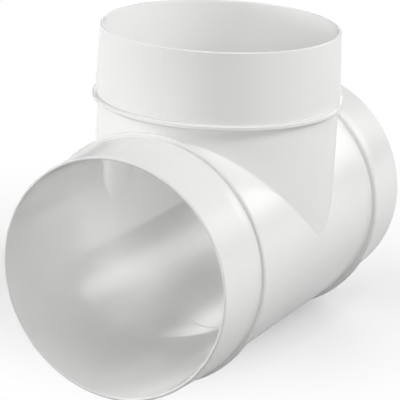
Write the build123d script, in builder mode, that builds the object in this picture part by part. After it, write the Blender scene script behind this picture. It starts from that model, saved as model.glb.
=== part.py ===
from build123d import *
import os
from math import isclose

os.makedirs("parts", exist_ok=True)

# Equal tee for round ventilation duct: one injection-moulded piece, with a straight run and a
# branch of the same size square to it. Each of the three arms ends in a tapered spigot that a
# duct is pushed over, up to a stop bead. Sizes are in millimetres.

# Duct that is pushed over each spigot, and the room left all round between the two
duct_bore_d = 100.0
spigot_gap = 0.2

# Spigot: its length in front of the bead, the straight land beside the bead, and how far the
# taper brings its radius down at the rim
spigot_length = 28.5
land_length = 6.0
tip_drop = 1.15

# Stop bead: its height above the land, its width and its broken corners
bead_height = 1.5
bead_width = 2.1
bead_chamfer = 0.5

# Body between the beads: how far the run lies inside the land and the branch inside the run,
# and the straight shoulder left between each bead and the tube that its arm springs from
body_step = 0.5
branch_step = 0.15
run_shoulder = 4.75
branch_shoulder = 4.6
saddle_round = 0.8

# Wall at the rims and at the crossing: the bores narrow inwards, as the mould's cores draw out
rim_wall = 1.2
rim_chamfer = 0.4
body_wall = 3.1

# Radii that follow
land_r = duct_bore_d / 2 - spigot_gap
tip_r = land_r - tip_drop
bead_r = land_r + bead_height
run_r = land_r - body_step
branch_r = run_r - branch_step
mouth_r = tip_r - rim_wall
crossing_r = run_r - body_wall

# Distances from the crossing of the axes to each bead's back and to each rim
run_bead = branch_r + run_shoulder
run_arm = run_bead + bead_width + spigot_length
branch_bead = run_r + branch_shoulder
branch_arm = branch_bead + bead_width + spigot_length

# The run lies level along X, with its beads' lowest points at Z = 0, and the branch stands up
crossing = (0, 0, bead_r)
run_plane = Plane(origin=crossing, x_dir=(1, 0, 0), z_dir=(0, -1, 0))
branch_plane = Plane(origin=crossing, x_dir=(0, 0, 1), z_dir=(0, 1, 0))
run_axis = Axis(crossing, (1, 0, 0))
branch_axis = Axis(crossing, (0, 0, 1))


def arm_points(body_r, bead, arm):
    """Half section of an arm's outside, along its axis from the crossing to the rim."""
    stop = bead + bead_width
    return [
        (0, 0),
        (0, body_r),
        (bead, body_r),
        (bead, bead_r),
        (stop, bead_r),
        (stop, land_r),
        (stop + land_length, land_r),
        (arm, tip_r),
        (arm, 0),
    ]


with BuildPart() as duct_tee:
    # Outside of the straight run: one arm's half section, mirrored to the other side
    with BuildSketch(run_plane):
        with BuildLine():
            Polyline(*arm_points(run_r, run_bead, run_arm), close=True)
        make_face()
        mirror(about=Plane.YZ)
    revolve(axis=run_axis)

    # Outside of the branch, which meets the run in a mitred saddle
    with BuildSketch(branch_plane):
        with BuildLine():
            Polyline(*arm_points(branch_r, branch_bead, branch_arm), close=True)
        make_face()
    revolve(axis=branch_axis)
    saddle = duct_tee.edges(Select.NEW).filter_by(GeomType.BSPLINE)
    fillet(saddle, saddle_round)

    # Bore of the run: two cores, each widening from the crossing to its mouth
    with BuildSketch(run_plane):
        with BuildLine():
            Polyline((0, 0), (0, crossing_r), (run_arm, mouth_r), (run_arm, 0), close=True)
        make_face()
        mirror(about=Plane.YZ)
    revolve(axis=run_axis, mode=Mode.SUBTRACT)

    # Bore of the branch: a third core that meets the other two in sharp mitres
    with BuildSketch(branch_plane):
        with BuildLine():
            Polyline((0, 0), (0, crossing_r), (branch_arm, mouth_r), (branch_arm, 0), close=True)
        make_face()
    revolve(axis=branch_axis, mode=Mode.SUBTRACT)

    # Broken edges: both corners of each bead's crown, and the inner and outer edge of each rim
    circles = duct_tee.edges().filter_by(GeomType.CIRCLE)
    crowns = circles.filter_by(lambda edge: isclose(edge.radius, bead_r, abs_tol=1e-4))
    mouths = circles.filter_by(lambda edge: isclose(edge.radius, mouth_r, abs_tol=1e-4))
    tips = circles.filter_by(lambda edge: isclose(edge.radius, tip_r, abs_tol=1e-4))
    chamfer(crowns, bead_chamfer)
    chamfer(mouths + tips, rim_chamfer)

duct_tee.part.label = "duct_tee"
export_step(duct_tee.part, "parts/duct_tee.step")
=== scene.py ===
from math import cos, radians, sin

import bpy
from mathutils import Matrix, Vector

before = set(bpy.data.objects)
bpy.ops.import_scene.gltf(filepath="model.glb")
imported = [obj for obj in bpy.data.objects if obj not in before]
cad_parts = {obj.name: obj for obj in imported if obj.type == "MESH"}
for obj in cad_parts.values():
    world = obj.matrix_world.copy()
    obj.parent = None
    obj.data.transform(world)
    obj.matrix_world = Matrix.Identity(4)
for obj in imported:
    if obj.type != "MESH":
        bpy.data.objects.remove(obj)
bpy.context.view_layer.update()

# Places on the tee, in metres: height of the run's axis, and a radius between the bores and the outside
AXIS_Z = 0.0513
INSIDE_R = 0.0483

# White of the resin, between two tones, and the grey the mould's lines lean to: painted shade in the
# bore's groove
RESIN_IOR = 1.5
RESIN_LOW = (0.847, 0.847, 0.837, 1)
RESIN_HIGH = (0.873, 0.873, 0.863, 1)
LINE_GREY_AND_GROOVE_SHADE = (0.35, 0.35, 0.35, 1)

# Part of a noise's range over which its effect goes from least to most
NOISE_LOW = 0.3
NOISE_HIGH = 0.7

# Noises on the plastic, each as a scale per metre and a detail
TONE_NOISE = (22.0, 3.0)
POLISH_NOISE = (90.0, 4.0)
WAVE_NOISE = (45.0, 1.0)
SKIN_NOISE = (1500.0, 2.0)

# Roughness of the polished bores, and what the satin outside adds to it
POLISH_LEAST = 0.045
POLISH_MOST = 0.06
SATIN = 0.18

# Relief in metres: radius of the softened edges, and heights of the waves, the skin and the lines
EDGE_ROUND = 0.00025
EDGE_SAMPLES = 6
WAVE_HEIGHT = 0.00003
SKIN_HEIGHT = 0.0000005
LINE_HEIGHT = 0.00005

# Mould's lines, in metres from their middle: where each is full and where it is gone
MEETING_WIDTH = (0.0002, 0.0006)
MEETING_REACH = (0.006, 0.016)
PARTING_WIDTH = (0.0001, 0.0003)

# Floor, in metres: side, gap under the tee, middle of the shadow, and where two changes start and end
FLOOR_SIDE = 40.0
FLOOR_GAP = 0.0002
SHADOW_MIDDLE = (0.09, 0.04, 0)
SHADOW_EDGE = (0.06, 0.19)
MIRRORED_EDGE = (0.12, 0.4)

# Floor's share of plain white, in the shadow and far off, and how much reflections near the tee keep
SHADOW_WHITE = 0.3
FAR_WHITE = 0.99
MIRRORED_WHITE = 0.4

# Floor's own colour where it is seen, and in the light that it throws back
FLOOR_PALE = (0.9, 0.9, 0.9, 1)
FLOOR_DULL = (0.25, 0.25, 0.25, 1)

# World's strength in reflections
WORLD_MIRRORED = 0.1

# Lamps: metres from the crossing, and the middle and the rim's radius of a disc in its own measure
LAMP_DISTANCE = 1.2
DISC_MIDDLE = (0.5, 0.5, 0)
DISC_RIM = 0.5

# Camera: sensor and lens in millimetres, place in metres, and the directions of its right and its top
SENSOR_WIDTH = 36.0
LENS = 185.626
CAMERA_PLACE = (-0.731858, -0.359792, 0.318134)
CAMERA_RIGHT = (0.45829717, -0.8878664, 0.04070571)
CAMERA_UP = (0.24938048, 0.17241357, 0.95293386)


def node(tree, kind, inputs=None, **settings):
    """A new node with its settings, and each of its inputs set to a value or linked to a socket."""
    made = tree.nodes.new(kind)
    for name, value in settings.items():
        setattr(made, name, value)
    for name, value in (inputs or {}).items():
        if isinstance(value, bpy.types.NodeSocket):
            tree.links.new(value, made.inputs[name])
        else:
            made.inputs[name].default_value = value
    return made


def calc(tree, operation, first, second=0.0):
    """One sum on two values or sockets."""
    return node(tree, "ShaderNodeMath", {0: first, 1: second}, operation=operation).outputs[0]


def ramp(tree, value, low, high, start=0.0, end=1.0):
    """A smooth change from start to end as the value goes from low to high."""
    inputs = {"Value": value, "From Min": low, "From Max": high, "To Min": start, "To Max": end}
    made = node(tree, "ShaderNodeMapRange", inputs, interpolation_type="SMOOTHSTEP")
    return made.outputs["Result"]


def fade(tree, offset, full, gone):
    """One while an offset to either side is below full, and nothing once it is past gone."""
    return ramp(tree, calc(tree, "ABSOLUTE", offset), full, gone, 1.0, 0.0)


def noise(tree, place, scale, detail):
    """A noise in the tee's own space, from 0 to 1."""
    made = node(tree, "ShaderNodeTexNoise", {"Vector": place, "Scale": scale, "Detail": detail})
    return made.outputs["Fac"]


def bump(tree, height, distance, normal):
    """The normal with a relief added, whose height is counted in units of a distance in metres."""
    made = node(tree, "ShaderNodeBump", {"Height": height, "Distance": distance, "Normal": normal})
    return made.outputs["Normal"]


def radius(tree, first, second):
    """How far a point is from an axis, from its two offsets."""
    squares = [calc(tree, "MULTIPLY", side, side) for side in (first, second)]
    return calc(tree, "SQRT", calc(tree, "ADD", *squares))


def white_moulding():
    """White plastic: polished bores, a satin outside and the mould's faint witness lines, the bore's one
    with painted shade.
    """
    material = bpy.data.materials.new("white_moulding")
    material.use_nodes = True
    tree = material.node_tree
    shader = tree.nodes["Principled BSDF"]
    shader.inputs["IOR"].default_value = RESIN_IOR

    # Where a point is: in the run's bore, in the branch's bore or outside
    place = node(tree, "ShaderNodeTexCoord").outputs["Object"]
    x, y, z = node(tree, "ShaderNodeSeparateXYZ", {"Vector": place}).outputs
    above = calc(tree, "SUBTRACT", z, AXIS_Z)
    in_run = calc(tree, "LESS_THAN", radius(tree, y, above), INSIDE_R)
    in_branch = calc(tree, "LESS_THAN", radius(tree, x, y), INSIDE_R)
    upper = calc(tree, "GREATER_THAN", above, 0.0)
    in_branch = calc(tree, "MULTIPLY", in_branch, upper)
    outside = calc(tree, "SUBTRACT", 1.0, calc(tree, "MAXIMUM", in_run, in_branch))

    # Line low in the run's bore where its two cores meet
    low_down = calc(tree, "SUBTRACT", 1.0, upper)
    low_down = calc(tree, "MULTIPLY", fade(tree, y, *MEETING_REACH), low_down)
    low_down = calc(tree, "MULTIPLY", in_run, low_down)
    meeting = calc(tree, "MULTIPLY", fade(tree, x, *MEETING_WIDTH), low_down)

    # Line on the outside where the mould's halves close
    parting = calc(tree, "MULTIPLY", fade(tree, y, *PARTING_WIDTH), outside)

    def lines(in_bore, on_outside):
        """Both lines, each with its own strength."""
        inner = calc(tree, "MULTIPLY", meeting, in_bore)
        outer = calc(tree, "MULTIPLY", parting, on_outside)
        return calc(tree, "ADD", inner, outer)

    # White of the resin, drifting slowly, and a little greyer along the lines; in the bore that is
    # painted shade of the groove
    tone = node(tree, "ShaderNodeValToRGB", {"Fac": noise(tree, place, *TONE_NOISE)})
    low, high = tone.color_ramp.elements
    low.position, low.color = NOISE_LOW, RESIN_LOW
    high.position, high.color = NOISE_HIGH, RESIN_HIGH
    inputs = {0: lines(in_bore=0.1, on_outside=0.03), 6: tone.outputs["Color"], 7: LINE_GREY_AND_GROOVE_SHADE}
    colour = node(tree, "ShaderNodeMix", inputs, data_type="RGBA")
    tree.links.new(colour.outputs[2], shader.inputs["Base Color"])

    # Gloss: polished bores and a satin outside, both a little uneven, with duller lines
    uneven = noise(tree, place, *POLISH_NOISE)
    polish = ramp(tree, uneven, NOISE_LOW, NOISE_HIGH, POLISH_LEAST, POLISH_MOST)
    satin = calc(tree, "MULTIPLY", outside, SATIN)
    rough = calc(tree, "ADD", calc(tree, "ADD", polish, satin), lines(in_bore=0.4, on_outside=0.03))
    tree.links.new(rough, shader.inputs["Roughness"])

    # Relief: soft edges, slow waves of a cooling wall, a fine skin, a groove in the bore, a ridge outside
    edges = node(tree, "ShaderNodeBevel", {"Radius": EDGE_ROUND}, samples=EDGE_SAMPLES)
    normal = bump(tree, noise(tree, place, *WAVE_NOISE), WAVE_HEIGHT, edges.outputs["Normal"])
    normal = bump(tree, noise(tree, place, *SKIN_NOISE), SKIN_HEIGHT, normal)
    normal = bump(tree, lines(in_bore=-1.0, on_outside=0.1), LINE_HEIGHT, normal)
    tree.links.new(normal, shader.inputs["Normal"])
    return material


material = white_moulding()
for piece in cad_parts.values():
    piece.data.materials.clear()
    piece.data.materials.append(material)


def studio_floor():
    """White where it is seen, with the tee's shadow near it, and duller in the light it throws back."""
    material = bpy.data.materials.new("studio_floor")
    material.use_nodes = True
    tree = material.node_tree
    tree.nodes.remove(tree.nodes["Principled BSDF"])
    path = node(tree, "ShaderNodeLightPath").outputs

    # Share of plain white: less in the shadow, and less again in a reflection near the tee
    place = node(tree, "ShaderNodeTexCoord").outputs["Object"]
    from_shadow = node(tree, "ShaderNodeVectorMath", {0: place, 1: SHADOW_MIDDLE}, operation="DISTANCE")
    from_tee = node(tree, "ShaderNodeVectorMath", {0: place}, operation="LENGTH")
    share = ramp(tree, from_shadow.outputs["Value"], *SHADOW_EDGE, SHADOW_WHITE, FAR_WHITE)
    mirrored = ramp(tree, from_tee.outputs["Value"], *MIRRORED_EDGE, MIRRORED_WHITE, 1.0)
    share = calc(tree, "MULTIPLY", share, calc(tree, "MAXIMUM", path["Is Camera Ray"], mirrored))

    # What is seen, straight or in a reflection, and what the light meets that is thrown back
    pale = node(tree, "ShaderNodeBsdfDiffuse", {"Color": FLOOR_PALE}).outputs[0]
    white = node(tree, "ShaderNodeEmission").outputs[0]
    sight = node(tree, "ShaderNodeMixShader", {"Fac": share, 1: pale, 2: white}).outputs[0]
    dull = node(tree, "ShaderNodeBsdfDiffuse", {"Color": FLOOR_DULL}).outputs[0]
    seen = calc(tree, "MAXIMUM", path["Is Camera Ray"], path["Is Glossy Ray"])
    seen = calc(tree, "MAXIMUM", seen, path["Is Transmission Ray"])
    floor = node(tree, "ShaderNodeMixShader", {"Fac": seen, 1: dull, 2: sight}).outputs[0]
    tree.links.new(floor, tree.nodes["Material Output"].inputs["Surface"])
    return material


bpy.ops.mesh.primitive_plane_add(size=FLOOR_SIDE, location=(0, 0, -FLOOR_GAP))
floor = bpy.context.object
floor.name = "studio_floor"
floor.data.materials.append(studio_floor())

# World: white to the camera past the floor's edge, dim in reflections, and no other light
world = bpy.data.worlds.new("studio")
bpy.context.scene.world = world
world.use_nodes = True
sky = world.node_tree
sky.nodes["Background"].inputs["Color"].default_value = (1, 1, 1, 1)
path = node(sky, "ShaderNodeLightPath").outputs
seen = calc(sky, "MAXIMUM", path["Is Camera Ray"], path["Is Transmission Ray"])
dim = calc(sky, "MULTIPLY", path["Is Glossy Ray"], WORLD_MIRRORED)
sky.links.new(calc(sky, "MAXIMUM", seen, dim), sky.nodes["Background"].inputs["Strength"])


def lamp(name, azimuth, height, width, power, mirrored=True):
    """A round soft lamp aimed at the crossing, brightest in its middle, at two angles in degrees."""
    data = bpy.data.lights.new(name, "AREA")
    data.shape = "DISK"
    data.size = width
    data.energy = power
    data.use_nodes = True
    tree = data.node_tree
    spot = node(tree, "ShaderNodeNewGeometry").outputs["Parametric"]
    away = node(tree, "ShaderNodeVectorMath", {0: spot, 1: DISC_MIDDLE}, operation="DISTANCE")
    glow = ramp(tree, away.outputs["Value"], 0.0, DISC_RIM, 1.0, 0.0)
    tree.links.new(glow, tree.nodes["Emission"].inputs["Strength"])
    around = radians(azimuth)
    rise = radians(height)
    way = Vector((cos(around) * cos(rise), sin(around) * cos(rise), sin(rise)))
    made = bpy.data.objects.new(name, data)
    made.location = Vector((0, 0, AXIS_Z)) + LAMP_DISTANCE * way
    made.rotation_euler = (-way).to_track_quat("-Z", "Y").to_euler()
    made.visible_camera = False
    made.visible_glossy = mirrored
    bpy.context.collection.objects.link(made)


# Lamps that the plastic mirrors
lamp("left_wide", 130, 35, 1.0, 17.4)
lamp("far_wide", 27, 25, 1.0, 3.2)
lamp("far_right_wide", 0, 30, 1.0, 1.1)
lamp("softbox_near", 328, 19, 0.5, 1.25)
lamp("softbox_far", 338, 19, 0.5, 1.35)
lamp("softbox_low", 330, 12, 0.5, 0.5)
lamp("softbox_high", 343, 25, 0.5, 0.75)
lamp("softbox_top", 347, 36, 0.6, 0.5)
lamp("rear", 27, 23, 0.7, 2.0)

# Lamps that light the plastic without a mirror image
lamp("front_fill", 220, 20, 0.5, 12.0, mirrored=False)
lamp("front_low_fill", 240, 6, 0.5, 2.7, mirrored=False)
lamp("front_high_fill", 240, 65, 0.5, 5.8, mirrored=False)
lamp("right_fill", 288, 35, 0.5, 13.3, mirrored=False)
lamp("right_high_fill", 270, 50, 0.5, 9.0, mirrored=False)
lamp("right_low_fill", 300, 20, 0.5, 4.1, mirrored=False)
lamp("left_low_fill", 120, 6, 0.5, 23.3, mirrored=False)
lamp("rear_fill", 20, 10, 0.5, 24.3, mirrored=False)

# Camera where the photo was taken from
data = bpy.data.cameras.new("camera")
data.sensor_width = SENSOR_WIDTH
data.lens = LENS
camera = bpy.data.objects.new("camera", data)
right = Vector(CAMERA_RIGHT)
up = Vector(CAMERA_UP)
turn = Matrix((right, up, right.cross(up))).transposed().to_4x4()
camera.matrix_world = Matrix.Translation(CAMERA_PLACE) @ turn
bpy.context.collection.objects.link(camera)
bpy.context.scene.camera = camera
bpy.context.scene.view_settings.view_transform = "Standard"
